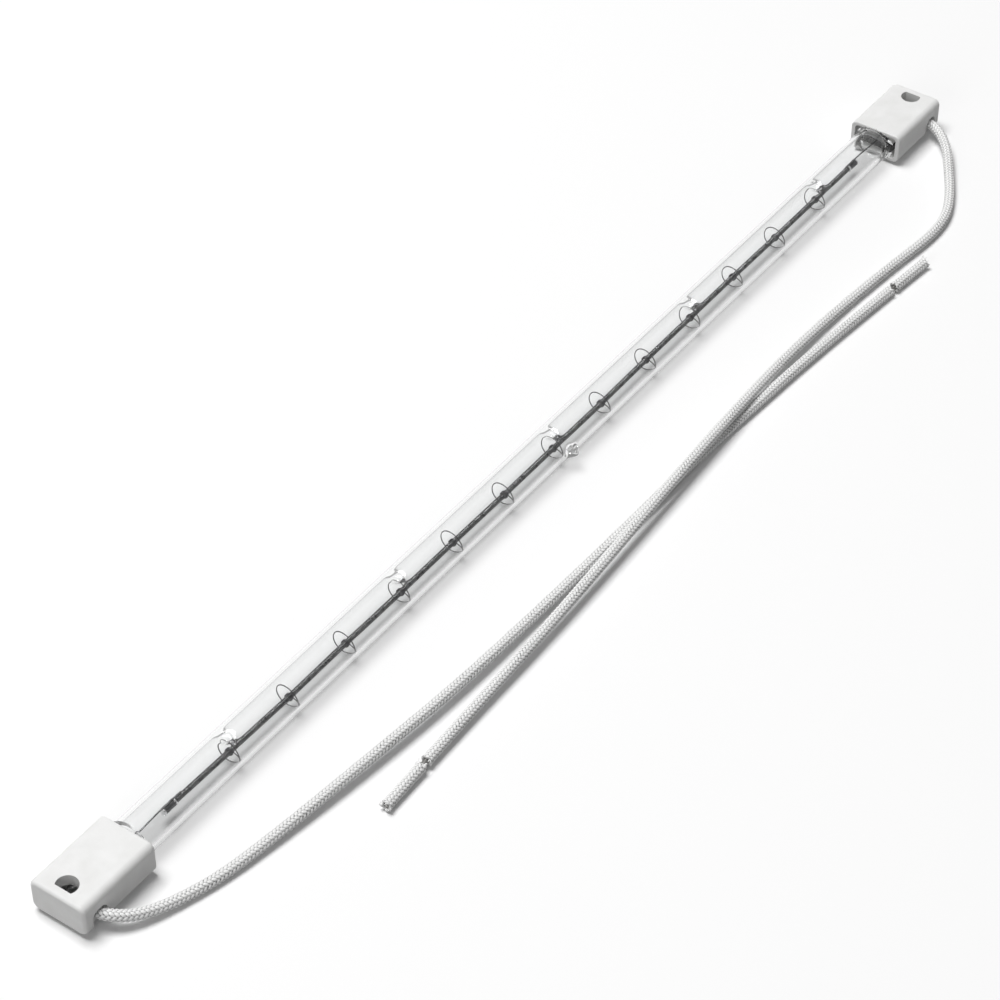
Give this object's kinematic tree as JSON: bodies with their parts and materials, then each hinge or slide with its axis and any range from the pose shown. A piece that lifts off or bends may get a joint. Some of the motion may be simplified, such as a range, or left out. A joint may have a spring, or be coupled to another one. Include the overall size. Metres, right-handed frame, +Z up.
{
  "type": "quartz heating tube",
  "caption": "Clear quartz infrared heating tube with a coiled filament on wire supports, ceramic end caps with side slots, and braided leads lying beside it.",
  "frame": {"origin": "on the floor, below the middle of the tube's axis, which lies 5.2 mm above it", "axes": "+X along the tube, from the left cap to the right cap; +Y across the tube, away from the leads; +Z up from the floor the tube lies on"},
  "size_m": [0.362, 0.0459, 0.0104],
  "materials": {
    "quartz": "clear, polished",
    "filament_wire": "dull tungsten",
    "support_wire": "dull tungsten",
    "clip_metal": "satin",
    "lead_wire": "satin",
    "foil": "satin",
    "crimp": "satin",
    "cement": "matt, rough",
    "ceramic": "matt",
    "conductor": "dull, stranded",
    "braid": "braided glass fibre"
  },
  "bodies": {
    "root": {"quartz_tube": "quartz", "filament": "filament_wire", "filament_support_01": "support_wire", "filament_support_02": "support_wire", "filament_support_03": "support_wire", "filament_support_04": "support_wire", "filament_support_05": "support_wire", "filament_support_06": "support_wire", "filament_support_07": "support_wire", "filament_support_08": "support_wire", "filament_support_09": "support_wire", "filament_support_10": "support_wire", "filament_support_11": "support_wire", "filament_support_12": "support_wire", "filament_support_13": "support_wire", "left_filament_end_clip": "clip_metal", "right_filament_end_clip": "clip_metal", "left_inner_lead": "lead_wire", "right_inner_lead": "lead_wire", "left_sealing_foil": "foil", "right_sealing_foil": "foil", "left_outer_lead_pin": "lead_wire", "right_outer_lead_pin": "lead_wire", "left_crimp_sleeve": "crimp", "right_crimp_sleeve": "crimp", "left_cement_fill": "cement", "right_cement_fill": "cement", "left_end_cap": "ceramic", "right_end_cap": "ceramic", "left_lead_conductor": "conductor", "right_lead_conductor": "conductor", "left_lead_sleeve": "braid", "right_lead_sleeve": "braid", "left_sleeve_slug": "braid", "right_sleeve_slug": "braid"}
  },
  "joints": []
}
